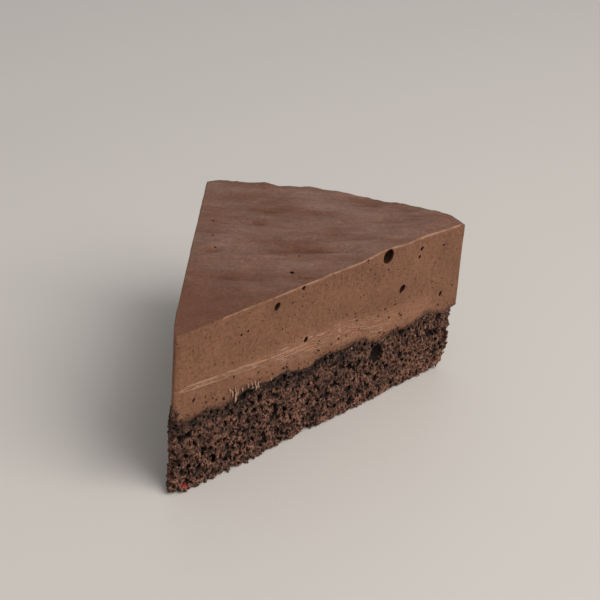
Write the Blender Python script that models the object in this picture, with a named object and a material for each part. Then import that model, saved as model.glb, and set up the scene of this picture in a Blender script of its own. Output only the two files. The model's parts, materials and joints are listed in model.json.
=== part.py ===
"""A slice of chocolate mousse cake, cut in eight from a round cake made in a ring.

Two layers run through the whole slice: a dark sponge base, and set mousse on top of it. Each one is
a sector of a disc. It is swept round the tip as a flat sheet, raised to a block, and then given its
real outline: a blunt tip, two slightly wavy knife cuts, a curved rim, and uneven top and middle.

Metres, +Z up. +X runs from the tip along the middle of the slice to the rim. The origin is under
the middle of the slice, on the surface that it stands on.
"""

import math

import bmesh
import bpy
from mathutils import Matrix, Vector, noise

# The cake and how it was cut.
CAKE_RADIUS = 0.100
SLICES_IN_CAKE = 8
SPONGE_HEIGHT = 0.0198
MOUSSE_HEIGHT = 0.0232
CUTS_MEET_OFF_CENTRE = Vector((0.0015, -0.0080))

# The outline of each layer.
LAYER_GAP = 0.0004
SPONGE_INSET_AT_RIM = 0.0013
SPONGE_TAPER_AT_RIM = 0.0009
SPONGE_BOTTOM_ROUND = 0.0032
SPONGE_TIP_REACH = 0.0010
SPONGE_TIP_BLUNTNESS = 0.0035
MOUSSE_TIP_BLUNTNESS = 0.0022

# The shape of the top. It swells towards one cut, leans to the other, and stands up over a large bubble.
TOP_SWELL = 0.0012
TOP_LEAN = 0.0008
BUBBLE_FROM_TIP = 0.0740
BUBBLE_BULGE = 0.0009
BUBBLE_BULGE_RADIUS = 0.0100

# The waves of the surface where the layers meet: height, length, and direction and phase in degrees.
MIDDLE_WAVES = ((0.00079, 0.040, 40.0, -83.0), (0.00066, 0.028, 0.0, 97.0), (0.00054, 0.013, -10.0, 127.0))

# How uneven the other surfaces are, as the height of a wave and the distance over which it changes.
TOP_WAVE, TOP_WAVE_LENGTH = 0.0005, 0.014
SPONGE_CUT_WAVE, SPONGE_CUT_WAVE_LENGTH = 0.0007, 0.011
MOUSSE_CUT_WAVE, MOUSSE_CUT_WAVE_LENGTH = 0.0003, 0.024
WAVES_START_FROM_TIP = 0.012

# How finely the faceted solids are divided.
STEPS_FROM_TIP_TO_RIM = 26
STEPS_ACROSS = 12
STEPS_UP = 6

HALF_ANGLE = math.pi / SLICES_IN_CAKE
SLICE_HEIGHT = SPONGE_HEIGHT + MOUSSE_HEIGHT

COLLECTION_NAME = "chocolate_cake_slice"


def clear_scene():
    for obj in list(bpy.data.objects):
        bpy.data.objects.remove(obj, do_unlink=True)


def make_collection(name):
    collection = bpy.data.collections.new(name)
    bpy.context.scene.collection.children.link(collection)
    return collection


def make_material(name, colour, roughness, metallic=0.0):
    material = bpy.data.materials.new(name)
    material.use_nodes = True
    shader = material.node_tree.nodes["Principled BSDF"]
    shader.inputs["Base Color"].default_value = (*colour, 1.0)
    shader.inputs["Roughness"].default_value = roughness
    shader.inputs["Metallic"].default_value = metallic
    material.diffuse_color = (*colour, 1.0)
    return material


def wave(place, height, length, layer):
    """A smooth unevenness at this place, between plus and minus about the height."""
    return height * noise.noise(Vector((place.x / length, place.y / length, layer + place.z / length)))


def distance_to_rim(angle, inset):
    """How far the rim is from the tip in this direction. The cuts meet a little off the cake's centre."""
    direction = Vector((math.cos(angle), math.sin(angle)))
    to_centre = CUTS_MEET_OFF_CENTRE
    along = to_centre.dot(direction)
    radius = CAKE_RADIUS - inset
    return along + math.sqrt(along**2 + radius**2 - to_centre.length_squared)


def plan_place(along, across, inset, bluntness):
    """A point of the outline seen from above: along is 0 at the tip and 1 at the rim, across is -1 and 1
    at the cuts. The tip is rounded as a hyperbola, whose arms are the two cuts."""
    angle = across * HALF_ANGLE
    distance = along * distance_to_rim(angle, inset)
    ahead = math.hypot(distance * math.cos(angle), bluntness)
    return Vector((ahead, distance * math.sin(angle), 0.0))


def middle_height(place):
    """Where the sponge ends and the mousse begins."""
    height_here = SPONGE_HEIGHT
    for height, length, direction, phase in MIDDLE_WAVES:
        turned = math.radians(direction)
        travelled = place.x * math.cos(turned) + place.y * math.sin(turned)
        height_here += height * math.sin(2.0 * math.pi * travelled / length + math.radians(phase))
    return height_here


def top_height(place, along, across):
    """The mousse was smoothed with a palette knife, which left low ripples."""
    swell = TOP_SWELL * 4.0 * along * (1.0 - along) * (1.0 - across) / 2.0
    lean = TOP_LEAN * along**2 * across
    bubble = Vector((math.cos(HALF_ANGLE), -math.sin(HALF_ANGLE))) * BUBBLE_FROM_TIP
    bulge = BUBBLE_BULGE * math.exp(-(((place.xy - bubble).length / BUBBLE_BULGE_RADIUS) ** 2))
    ripple = wave(Vector((place.x, place.y, 0.0)), TOP_WAVE, TOP_WAVE_LENGTH, 8.2)
    return SLICE_HEIGHT + swell - lean + bulge + ripple


def unevenness_of_cut(place, along, height, length, layer):
    """How far a knife cut stands out of its plane. It fades out at the tip, where the cuts meet."""
    share = min(1.0, along * CAKE_RADIUS / WAVES_START_FROM_TIP)
    return share * wave(place, height, length, layer)


def sponge_place(along, across, level):
    """The sponge disc is narrower than the ring, and more so below, where its baked edge is round. The
    levels lie closer together there."""
    up = level**2
    below = max(0.0, 1.0 - up * SPONGE_HEIGHT / SPONGE_BOTTOM_ROUND)
    tuck = SPONGE_BOTTOM_ROUND * (1.0 - math.sqrt(1.0 - below**2))
    inset = SPONGE_INSET_AT_RIM + SPONGE_TAPER_AT_RIM * (1.0 - up) + tuck
    place = plan_place(along, across, inset, SPONGE_TIP_BLUNTNESS)
    place.x -= (SPONGE_TIP_REACH + SPONGE_TIP_BLUNTNESS - MOUSSE_TIP_BLUNTNESS) * (1.0 - along)
    top = middle_height(place)
    place.z = up * top
    place.y += across * unevenness_of_cut(
        place, along, SPONGE_CUT_WAVE, SPONGE_CUT_WAVE_LENGTH, 21.0 + across
    )
    return place


def mousse_place(along, across, level):
    """The mousse fills the ring to its wall, and stands on the sponge."""
    place = plan_place(along, across, 0.0, MOUSSE_TIP_BLUNTNESS)
    bottom = middle_height(place) + LAYER_GAP
    place.z = bottom + level * (top_height(place, along, across) - bottom)
    place.y += across * unevenness_of_cut(
        place, along, MOUSSE_CUT_WAVE, MOUSSE_CUT_WAVE_LENGTH, 42.0 + across
    )
    return place


def sector_block():
    """A sector of a flat disc, 1 in radius and 1 high, with its tip on the Z axis and divided in steps."""
    block = bmesh.new()
    start = Matrix.Rotation(-HALF_ANGLE, 3, "Z")
    ridge = [
        block.verts.new(start @ Vector((step / STEPS_FROM_TIP_TO_RIM, 0.0, 0.0)))
        for step in range(STEPS_FROM_TIP_TO_RIM + 1)
    ]
    edges = [block.edges.new(pair) for pair in zip(ridge, ridge[1:])]
    bmesh.ops.spin(
        block,
        geom=ridge + edges,
        axis=(0.0, 0.0, 1.0),
        cent=(0.0, 0.0, 0.0),
        angle=2.0 * HALF_ANGLE,
        steps=STEPS_ACROSS,
    )
    bmesh.ops.remove_doubles(block, verts=block.verts, dist=1e-6)
    layer = list(block.faces)
    for step in range(STEPS_UP):
        raised = bmesh.ops.extrude_face_region(block, geom=layer)["geom"]
        if step > 0:
            bmesh.ops.delete(block, geom=layer, context="FACES")
        layer = [item for item in raised if isinstance(item, bmesh.types.BMFace)]
        corners = [item for item in raised if isinstance(item, bmesh.types.BMVert)]
        bmesh.ops.translate(block, verts=corners, vec=(0.0, 0.0, 1.0 / STEPS_UP))
    return block


def make_layer(name, place, material, collection):
    """One layer of the slice: the plain block, with each of its points put in its real place."""
    block = sector_block()
    for corner in block.verts:
        along = corner.co.xy.length
        across = math.atan2(corner.co.y, corner.co.x) / HALF_ANGLE if along > 1e-6 else 0.0
        corner.co = place(along, across, corner.co.z)
    bmesh.ops.recalc_face_normals(block, faces=block.faces)
    mesh = bpy.data.meshes.new(name)
    block.to_mesh(mesh)
    block.free()
    mesh.materials.append(material)
    mesh.shade_smooth()
    mesh.set_sharp_from_angle(angle=math.radians(35.0))
    layer = bpy.data.objects.new(name, mesh)
    collection.objects.link(layer)
    return layer


def stand_on_origin(layers):
    """Moves the layers so that the middle of the slice's box is over the origin."""
    corners = [corner.co for layer in layers for corner in layer.data.vertices]
    low = Vector([min(corner[axis] for corner in corners) for axis in range(3)])
    high = Vector([max(corner[axis] for corner in corners) for axis in range(3)])
    middle = (low + high) / 2.0
    for layer in layers:
        layer.data.transform(Matrix.Translation((-middle.x, -middle.y, -low.z)))


def main():
    clear_scene()
    collection = make_collection(COLLECTION_NAME)
    sponge_crumb = make_material("sponge_crumb", (0.075, 0.038, 0.026), 0.95)
    set_mousse = make_material("set_mousse", (0.215, 0.105, 0.065), 0.60)
    sponge = make_layer("sponge_base", sponge_place, sponge_crumb, collection)
    mousse = make_layer("mousse_layer", mousse_place, set_mousse, collection)
    stand_on_origin([sponge, mousse])


main()
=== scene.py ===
"""A slice of chocolate mousse cake: the looks of its two layers, its crumbs, and the stage it stands on.

Metres, +Z up. The two knife cuts meet near the tip, at low X, and the curved rim is at high X. Inside
the functions that shape the slice, a place is measured from the point where the cuts meet.
"""

import json
import math
import random

import bmesh
import bpy
import numpy as np
from bpy.props import FloatProperty, FloatVectorProperty, IntProperty, PointerProperty
from mathutils import Matrix, Vector, noise
from mathutils.bvhtree import BVHTree

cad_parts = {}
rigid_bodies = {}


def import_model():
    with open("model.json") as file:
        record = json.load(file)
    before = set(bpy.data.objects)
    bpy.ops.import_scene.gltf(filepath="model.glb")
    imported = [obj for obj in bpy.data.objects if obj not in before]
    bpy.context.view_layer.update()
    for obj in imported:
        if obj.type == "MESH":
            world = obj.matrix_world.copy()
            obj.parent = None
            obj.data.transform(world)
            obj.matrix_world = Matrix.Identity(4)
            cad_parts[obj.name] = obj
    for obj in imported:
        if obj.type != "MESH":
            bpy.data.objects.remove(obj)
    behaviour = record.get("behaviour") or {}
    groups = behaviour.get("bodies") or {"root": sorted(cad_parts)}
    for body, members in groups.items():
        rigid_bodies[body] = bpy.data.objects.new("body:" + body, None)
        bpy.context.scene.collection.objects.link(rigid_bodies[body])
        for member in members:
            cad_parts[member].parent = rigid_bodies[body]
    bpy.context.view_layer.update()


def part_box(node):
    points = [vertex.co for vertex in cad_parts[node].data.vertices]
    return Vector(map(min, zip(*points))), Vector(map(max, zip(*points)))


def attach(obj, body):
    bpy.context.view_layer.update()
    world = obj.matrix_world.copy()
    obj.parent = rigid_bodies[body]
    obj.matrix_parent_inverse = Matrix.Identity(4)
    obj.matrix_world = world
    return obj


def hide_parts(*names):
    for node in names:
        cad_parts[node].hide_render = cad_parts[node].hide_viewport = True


bl_info = {
    "name": "Chocolate mousse cake slice",
    "version": (1, 0, 0),
    "blender": (4, 5, 0),
    "location": "View3D > Sidebar > Cake slice",
    "description": "Builds the crumb, the mousse, the loose crumbs and the stage of a slice of cake",
    "category": "Object",
}

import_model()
SPONGE_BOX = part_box("sponge_base")
MOUSSE_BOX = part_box("mousse_layer")
BODY = "root"
MM = 0.001

# The slice's outline, as it was cut.
CAKE_RADIUS = 0.100
HALF_ANGLE = math.radians(22.5)
CUTS_MEET_OFF_CENTRE = Vector((0.0015, -0.0080))
MOUSSE_TIP_BLUNTNESS = 0.0022
SPONGE_TIP_BLUNTNESS = 0.0035
SPONGE_TIP_REACH = 0.0010
SPONGE_INSET_AT_RIM = 0.0013
SPONGE_TAPER_AT_RIM = 0.0009
SLICE_HEIGHT = 0.0430
MIDDLE_HEIGHT = 0.0198
MIDDLE_WAVES = ((0.00079, 0.040, 40.0, -83.0), (0.00066, 0.028, 0.0, 97.0), (0.00054, 0.013, -10.0, 127.0))

# Places on the cut that faces -Y are given as the distance from the tip and the height.
SHOWN_CUT = Vector((math.cos(HALF_ANGLE), -math.sin(HALF_ANGLE)))
SHOWN_CUT_OUT = Vector((-math.sin(HALF_ANGLE), -math.cos(HALF_ANGLE)))
OTHER_CUT = Vector((math.cos(HALF_ANGLE), math.sin(HALF_ANGLE)))
OTHER_CUT_OUT = Vector((-math.sin(HALF_ANGLE), math.cos(HALF_ANGLE)))
# A distance along the other cut is stored with this added, so that its scratches differ.
OTHER_CUT_SHIFT = 0.3
# How far the palette knife's stroke over the top is turned from the Y axis.
STROKE_TURN = math.radians(22.0)


def distance_to_rim(angle, inset):
    """How far the rim is from the point where the cuts meet."""
    direction = Vector((math.cos(angle), math.sin(angle)))
    along = CUTS_MEET_OFF_CENTRE.dot(direction)
    radius = CAKE_RADIUS - inset
    return along + math.sqrt(along**2 + radius**2 - CUTS_MEET_OFF_CENTRE.length_squared)


# Where the cuts meet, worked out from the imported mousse.
TIP = Vector(
    (
        MOUSSE_BOX[0].x - MOUSSE_TIP_BLUNTNESS,
        MOUSSE_BOX[0].y + distance_to_rim(-HALF_ANGLE, 0.0) * math.sin(HALF_ANGLE),
        0.0,
    )
)
CUT_LENGTH = distance_to_rim(-HALF_ANGLE, 0.0)


# ---- Settings ----


def colour_setting(name, description, default):
    return FloatVectorProperty(
        name=name, description=description, subtype="COLOR", size=3, default=default, min=0.0, max=1.0
    )


def length_setting(name, description, default, least, most):
    return FloatProperty(
        name=name, description=description, subtype="DISTANCE", unit="LENGTH", default=default,
        min=least, max=most,
    )


def angle_setting(name, description, degrees):
    return FloatProperty(
        name=name, description=description, subtype="ANGLE", unit="ROTATION", default=math.radians(degrees)
    )


class MousseSettings(bpy.types.PropertyGroup):
    """The set mousse."""

    cut_colour: colour_setting("Cut", "Colour of the mousse where it was cut", (0.211, 0.098, 0.056))
    skin_colour: colour_setting(
        "Top", "Colour of the smoothed top in its hollows", (0.148, 0.060, 0.034)
    )
    # The film colour is painted sheen: a lighter, greyer colour on the ridges of the top that stands in for
    # the reflection of the light there.
    painted_sheen_colour: colour_setting(
        "Film", "Colour of the dry film on the ridges of the top", (0.246, 0.138, 0.102)
    )
    # The bubble colour is painted shade: the deeper inside a bubble, the darker it is painted.
    bubble_shade_colour: colour_setting("Bubbles", "Colour deep inside the bubbles", (0.024, 0.009, 0.004))
    scratch_colour: colour_setting(
        "Scratches", "Colour of the mousse that the knife scratched up", (0.470, 0.270, 0.175)
    )
    smear_colour: colour_setting(
        "Smears", "Colour of the mousse that the knife smeared with crumb", (0.075, 0.038, 0.026)
    )
    edge_radius: length_setting("Edge radius", "How round the upper edges are", 0.00026, 0.0001, 0.002)
    ripple_height: length_setting(
        "Ripples", "Height of the palette knife's ripples", 0.00060, 0.0, 0.002
    )
    bubbles: IntProperty(
        name="Bubbles", description="How many scattered bubbles the cuts open", default=210, min=0, max=600,
    )


class SpongeSettings(bpy.types.PropertyGroup):
    """The sponge base."""

    # The grain colour is partly the crumb's own lighter grains and partly a painted highlight on raised
    # places.
    grain_and_highlight_colour: colour_setting("Grains", "Colour of the raised grains", (0.300, 0.147, 0.097))
    crumb_colour: colour_setting("Crumb", "Colour of most of the crumb", (0.096, 0.041, 0.026))
    # The pore colour is painted shade in the pores, the gaps between grains and the hollows of the crumb.
    pore_shade_colour: colour_setting("Pores", "Colour in the depth of the pores", (0.007, 0.004, 0.003))
    voxel: length_setting("Fineness", "Size of the smallest step of the crumb", 0.00032, 0.0002, 0.002)


class CrumbSettings(bpy.types.PropertyGroup):
    """The loose crumbs, the shreds of mousse and the fleck of fruit."""

    crumbs: IntProperty(
        name="Crumbs", description="How many loose crumbs lie on the sponge", default=5200, min=0, max=9000,
    )
    stray_crumbs: IntProperty(
        name="Stray crumbs", description="How many crumbs stick to the mousse", default=260, min=0, max=1000,
    )
    smallest: length_setting("Smallest", "Radius of the smallest crumb", 0.00014, 0.00005, 0.001)
    largest: length_setting("Largest", "Radius of the largest crumb", 0.00042, 0.0001, 0.002)
    fleck_colour: colour_setting("Fleck", "Colour of the fleck of fruit", (0.50, 0.045, 0.040))


class StageSettings(bpy.types.PropertyGroup):
    """The camera and the lights."""

    azimuth: angle_setting("Azimuth", "Where the camera stands round the slice", -67.16)
    elevation: angle_setting("Elevation", "How far the camera looks down", 27.64)
    roll: angle_setting("Roll", "How far the camera is tilted to the side", 3.33)
    distance: FloatProperty(
        name="Distance", description="From the camera to the slice", subtype="DISTANCE",
        unit="LENGTH", default=0.3958,
    )
    floor_colour: colour_setting("Floor", "Colour of the floor", (0.70, 0.66, 0.62))


class SliceSettings(bpy.types.PropertyGroup):
    """All that can be set for the slice."""

    mousse: PointerProperty(type=MousseSettings)
    sponge: PointerProperty(type=SpongeSettings)
    crumbs: PointerProperty(type=CrumbSettings)
    stage: PointerProperty(type=StageSettings)


# ---- Numbers worked out by nodes ----


def plug(tree, value, socket):
    """Gives a socket its value: a link from another node, or a constant."""
    if isinstance(value, Num):
        tree.links.new(value.socket, socket)
    elif isinstance(value, bpy.types.NodeSocket):
        tree.links.new(value, socket)
    else:
        socket.default_value = value


class Num:
    """A number that nodes work out at each place. Arithmetic on it adds the nodes."""

    def __init__(self, tree, socket):
        self.tree = tree
        self.socket = socket

    def math(self, operation, *others, first=None):
        node = self.tree.nodes.new("ShaderNodeMath")
        node.operation = operation
        values = (self, *others) if first is None else (first, self)
        for value, socket in zip(values, node.inputs):
            plug(self.tree, value, socket)
        return Num(self.tree, node.outputs[0])

    def __add__(self, other):
        return self.math("ADD", other)

    def __sub__(self, other):
        return self.math("SUBTRACT", other)

    def __mul__(self, other):
        return self.math("MULTIPLY", other)

    def __truediv__(self, other):
        return self.math("DIVIDE", other)

    def __rsub__(self, other):
        return self.math("SUBTRACT", first=other)

    __radd__ = __add__
    __rmul__ = __mul__

    def sin(self):
        return self.math("SINE")

    def least(self, other):
        return self.math("MINIMUM", other)

    def most(self, other):
        return self.math("MAXIMUM", other)

    def soft_most(self, other, over):
        return self.math("SMOOTH_MAX", other, over)

    def over(self, limit):
        return self.math("GREATER_THAN", limit)

    def ramp(self, low, high, to_low=0.0, to_high=1.0):
        """Goes smoothly from one value to the other between the two limits."""
        node = self.tree.nodes.new("ShaderNodeMapRange")
        node.interpolation_type = "SMOOTHSTEP"
        for value, name in ((self, "Value"), (low, "From Min"), (high, "From Max")):
            plug(self.tree, value, node.inputs[name])
        plug(self.tree, to_low, node.inputs["To Min"])
        plug(self.tree, to_high, node.inputs["To Max"])
        return Num(self.tree, node.outputs["Result"])


def vector(tree, operation, first, second):
    """Arithmetic on places: the sum, the difference or the scaled vector."""
    node = tree.nodes.new("ShaderNodeVectorMath")
    node.operation = operation
    plug(tree, first, node.inputs[0])
    plug(tree, second, node.inputs["Scale" if operation == "SCALE" else 1])
    return node.outputs[0]


def parts(tree, place):
    """The X, Y and Z of a place."""
    node = tree.nodes.new("ShaderNodeSeparateXYZ")
    plug(tree, place, node.inputs[0])
    return [Num(tree, socket) for socket in node.outputs]


def joined(tree, x, y, z=0.0):
    """The place with this X, Y and Z."""
    node = tree.nodes.new("ShaderNodeCombineXYZ")
    for value, socket in zip((x, y, z), node.inputs):
        plug(tree, value, socket)
    return node.outputs[0]


def cloud(tree, place, size, detail=2.0, roughness=0.5):
    """Soft random clouds of this size, between 0 and 1."""
    node = tree.nodes.new("ShaderNodeTexNoise")
    plug(tree, place, node.inputs["Vector"])
    node.inputs["Scale"].default_value = 1.0 / size
    node.inputs["Detail"].default_value = detail
    node.inputs["Roughness"].default_value = roughness
    return Num(tree, node.outputs["Fac"])


def cells(tree, place, size):
    """Cells of this size: the distance to the middle of the nearest, and a random number for each."""
    node = tree.nodes.new("ShaderNodeTexVoronoi")
    plug(tree, place, node.inputs["Vector"])
    node.inputs["Scale"].default_value = 1.0 / size
    return Num(tree, node.outputs["Distance"]) * size, parts(tree, node.outputs["Color"])[0]


# ---- Materials ----


def new_material(name):
    """A material and its node tree, with the shader and its output in place."""
    material = bpy.data.materials.new(name)
    material.use_nodes = True
    return material, material.node_tree, material.node_tree.nodes["Principled BSDF"]


def object_place(tree):
    node = tree.nodes.new("ShaderNodeTexCoord")
    return node.outputs["Object"]


def attribute(tree, name):
    node = tree.nodes.new("ShaderNodeAttribute")
    node.attribute_name = name
    return Num(tree, node.outputs["Fac"])


def mixed(tree, share, first, second):
    """A colour between two colours."""
    node = tree.nodes.new("ShaderNodeMix")
    node.data_type = "RGBA"
    plug(tree, share, node.inputs["Factor"])
    for colour, socket in ((first, node.inputs[6]), (second, node.inputs[7])):
        plug(tree, colour if isinstance(colour, bpy.types.NodeSocket) else (*colour, 1.0), socket)
    return node.outputs[2]


def brighter(tree, colour, factor):
    """A colour made brighter or darker by a factor that nodes work out."""
    return vector(tree, "SCALE", colour, factor)


def bump(tree, shader, height):
    """Gives the shader fine relief: the height is in metres."""
    node = tree.nodes.new("ShaderNodeBump")
    node.inputs["Distance"].default_value = 1.0
    plug(tree, height, node.inputs["Height"])
    tree.links.new(node.outputs["Normal"], shader.inputs["Normal"])


def mousse_material(settings):
    """Set mousse: fine-pored and warm where it was cut, darker and smoother on its spread top. Painted sheen
    lies on the ridges of the top, painted shade in its hollows, pores and bubbles, and a painted highlight
    along its upper edges.
    """
    material, tree, shader = new_material("set mousse")
    place = object_place(tree)
    skin = attribute(tree, "skin")
    depth = attribute(tree, "depth")
    along = attribute(tree, "along_cut")
    above = attribute(tree, "above_band")
    over_line = attribute(tree, "over_line")
    edge = attribute(tree, "top_edge")
    cut = 1.0 - skin

    patches = cloud(tree, place, 0.009, 3.0, 0.6)
    grain = cloud(tree, place, 0.0008, 3.0, 0.65)
    pore_distance, pore_chance = cells(tree, place, 0.0014)
    pore = pore_distance.ramp(0.00012, 0.00026, 1.0, 0.0) * pore_chance.over(0.55)
    fine_distance, fine_chance = cells(tree, place, 0.00062)
    fine_pore = fine_distance.ramp(0.00007, 0.00016, 1.0, 0.0) * fine_chance.over(0.42)
    scratch = scratches(tree, along, above) * cut
    ragged = (cloud(tree, place, 0.0024, 4.0, 0.7) - 0.5) * 0.0040
    reach = cloud(tree, place, 0.018, 1.0).ramp(0.40, 0.60, 0.0003, 0.0014)
    smear = ((over_line + ragged) / reach).ramp(0.1, 1.2, 1.0, 0.0)

    # Faint upright marks of the knife's strokes.
    chatter = cloud(tree, joined(tree, along, above * 0.08), 0.00050, 3.0, 0.6)
    chatter = (chatter - 0.5) * cut * cloud(tree, place, 0.010, 2.0).ramp(0.36, 0.60, 0.25, 1.0)

    # Streaks along the palette knife's stroke on the top. With the top's ripples and dimples they set where
    # painted sheen lies: a lighter, greyer colour on the ridges that thins towards the tip. They also set
    # where painted shade darkens the hollows.
    streaks = cloud(tree, joined_stroke(tree, place, 0.16), 0.0011, 4.0, 0.7)
    broad_streaks = cloud(tree, joined_stroke(tree, place, 0.30), 0.0060, 4.0, 0.65)
    tone = attribute(tree, "relief") * 1000.0 + (broad_streaks - 0.5) * 2.4 + (streaks - 0.5) * 1.3
    sheen_toward_rim = parts(tree, vector(tree, "SUBTRACT", place, tuple(TIP)))[0].ramp(0.018, 0.052, 0.16, 1.0)
    sheen = tone.ramp(-1.05, 1.05) * sheen_toward_rim
    speckle = fine_chance.ramp(0.80, 1.0) * fine_distance.ramp(0.00008, 0.00020, 1.0, 0.0)

    in_band = (above.math("ABSOLUTE") / 0.0052).ramp(0.2, 1.0, 1.0, 0.0) * (1.0 - smear)
    distance = along.math("MODULO", OTHER_CUT_SHIFT)
    in_band = in_band * distance.ramp(0.015, 0.045, 0.3, 1.0) * distance.ramp(0.090, 0.099, 1.0, 0.0)
    shade = 1.0 + (patches - 0.5) * 0.55 + (grain - 0.5) * 1.25
    # The pores are only bumps. They are painted darker, which is painted shade inside them.
    shade = shade - pore * cut * 0.75 - fine_pore * (0.66 - skin * 0.36) + speckle * 0.66 + chatter * 0.80
    # The last term is painted shade: it darkens the top in the hollows of its ripples and dimples.
    shade = shade + in_band * cut * 0.30 + skin * tone.ramp(-1.3, -0.3, -0.16, 0.0)
    # Painted sheen: the ridges of the top get a lighter, greyer colour, less of it towards the tip.
    colour = mixed(tree, sheen, settings.skin_colour, settings.painted_sheen_colour)
    colour = brighter(tree, mixed(tree, skin, settings.cut_colour, colour), shade)
    # Painted highlight: a pale line along the upper edges, in the colour of the scratches.
    painted_edge_highlight = edge * cloud(tree, place, 0.0035, 3.0, 0.6).ramp(0.36, 0.58, 0.22, 0.60)
    colour = mixed(tree, (scratch * 0.70).most(painted_edge_highlight), colour, settings.scratch_colour)
    colour = mixed(tree, smear * cut * 0.70, colour, settings.smear_colour)
    # Painted shade: the deeper inside a bubble, the darker.
    colour = mixed(tree, depth.ramp(0.0, 0.40), colour, settings.bubble_shade_colour)
    tree.links.new(colour, shader.inputs["Base Color"])

    rough = 0.66 - skin * 0.12 - (sheen - 0.5) * skin * 0.16 + (grain - 0.5) * 0.14
    plug(tree, rough.most(depth.ramp(0.0, 0.4)), shader.inputs["Roughness"])
    height = grain * 0.00012 - pore * 0.00014 - fine_pore * 0.00008
    height = height * (1.0 - skin * 0.3) + scratch * 0.00014 + chatter * 0.00020
    height = height + skin * streaks * 0.00020
    bump(tree, shader, height)
    shader.inputs["Subsurface Weight"].default_value = 0.12
    shader.inputs["Subsurface Radius"].default_value = (0.0016, 0.0008, 0.0005)
    shader.inputs["Subsurface Scale"].default_value = 1.0
    shader.inputs["Specular IOR Level"].default_value = 0.16
    return material


# The long scratches: how far above the middle of the band, half width, and where their pattern starts.
LONG_SCRATCHES = ((0.00062, 0.00019, 0.0), (-0.00060, 0.00013, 5.0), (0.00010, 0.00006, 9.0))


def scratches(tree, along, above):
    """Light scratches that the knife drew through the lower half of the cut: long ones from the tip, and
    further on a wide band of short ones."""
    distance = along.math("MODULO", OTHER_CUT_SHIFT)
    wander = (cloud(tree, joined(tree, along * 0.3, 0.0), 0.004, 2.0) - 0.5) * 0.0009
    lines = 0.0
    for offset, thin, seed in LONG_SCRATCHES:
        broken = cloud(tree, joined(tree, along * 0.22, above * 0.5, seed), 0.0016, 2.0).ramp(0.34, 0.52)
        aside = (above - wander - offset).math("ABSOLUTE")
        lines = aside.ramp(thin * 0.5, thin * 2.2, 1.0, 0.0) * broken + lines
    lines = lines * distance.ramp(0.038, 0.056, 1.0, 0.0) * distance.ramp(0.0030, 0.0075)
    half_width = distance.ramp(0.020, 0.050, 0.0010, 0.0040)
    inside = (above.math("ABSOLUTE") / half_width).ramp(0.40, 1.15, 1.0, 0.0)
    short = cloud(tree, joined(tree, along * 0.13, above), 0.00042, 2.0, 0.6).ramp(0.48, 0.59)
    patchy = cloud(tree, joined(tree, along * 0.4, above), 0.0028, 2.0).ramp(0.36, 0.50)
    short = short * inside * patchy * distance.ramp(0.070, 0.082, 1.0, 0.0)
    return lines.most(short)


def joined_stroke(tree, place, squeeze):
    """The place seen along the palette knife's stroke, squeezed along it so that a pattern is long there."""
    x, y, z = parts(tree, place)
    across, along = stroke_coordinates(x, y)
    return joined(tree, across, along * squeeze, z)


def sponge_material(settings):
    """Chocolate sponge: matt and dark. It has random lighter grains, a painted highlight on its raised
    grains, and painted shade that makes its pores and hollows nearly black.
    """
    material, tree, shader = new_material("sponge crumb")
    place = object_place(tree)
    depth = attribute(tree, "depth")
    crumb = fine_crumb(tree, place)
    grain = cloud(tree, place, 0.00050, 3.0, 0.7)
    # Partly painted highlight: the lighter grains show most on raised places and less in the hollows.
    high = grain.ramp(0.42, 0.58) * crumb.ramp(0.05, 0.30) * depth.ramp(0.0000, 0.0005, 1.0, 0.25)
    colour = mixed(tree, high * 0.85, settings.crumb_colour, settings.grain_and_highlight_colour)
    # Painted shade: the pores, the gaps between grains and the hollows are painted nearly black.
    low = crumb.ramp(-0.06, 0.09, 1.0, 0.0).most(grain.ramp(0.38, 0.47, 0.9, 0.0))
    low = low.most(depth.ramp(0.00025, 0.00090))
    colour = mixed(tree, low * 0.96, colour, settings.pore_shade_colour)
    colour = brighter(tree, colour, sponge_tone(tree, place))
    tree.links.new(colour, shader.inputs["Base Color"])
    plug(tree, 0.94 - high * 0.20, shader.inputs["Roughness"])
    fine = cloud(tree, place, 0.00022, 3.0, 0.7)
    bump(tree, shader, crumb.ramp(-0.10, 0.30) * 0.00028 + grain * 0.00028 + fine * 0.00008)
    shader.inputs["Specular IOR Level"].default_value = 0.35
    return material


def sponge_tone(tree, place):
    """How bright the sponge is here: it is patchy, and moist and dark under parts of the mousse."""
    patches = cloud(tree, place, 0.0050, 3.0, 0.6).ramp(0.34, 0.66, 0.70, 1.42)
    x, y, z = parts(tree, vector(tree, "SUBTRACT", place, tuple(TIP)))
    below_line = middle_height(x, y) - z
    thick = cloud(tree, place, 0.010, 2.0).ramp(0.36, 0.64, 0.0020, 0.0062)
    moist = (below_line / thick).ramp(0.45, 1.0, 1.0, 0.0) * x.ramp(0.054, 0.068, 1.0, 0.35)
    return patches * (1.0 - moist * 0.66)


def fine_crumb(tree, place):
    """How far a place is from the nearest fine pore of the crumb, in millimetres: less than 0 inside one."""
    wander = vector(tree, "SCALE", colour_cloud(tree, place, 0.0009), 0.0007)
    drawn = vector(tree, "MULTIPLY", vector(tree, "ADD", place, wander), (1.0, 1.0, 0.72))
    distance, chance = cells(tree, drawn, 0.00088)
    return distance * 1000.0 - (chance * 0.36 + 0.06)


def colour_cloud(tree, place, size):
    """A soft random vector."""
    node = tree.nodes.new("ShaderNodeTexNoise")
    plug(tree, place, node.inputs["Vector"])
    node.inputs["Scale"].default_value = 1.0 / size
    node.inputs["Detail"].default_value = 1.0
    return node.outputs["Color"]


# ---- The mousse ----

STEPS_FROM_TIP_TO_RIM = 230
STEPS_ACROSS = 136
STEPS_UP = 52
OVERLAP = 0.0005

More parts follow.
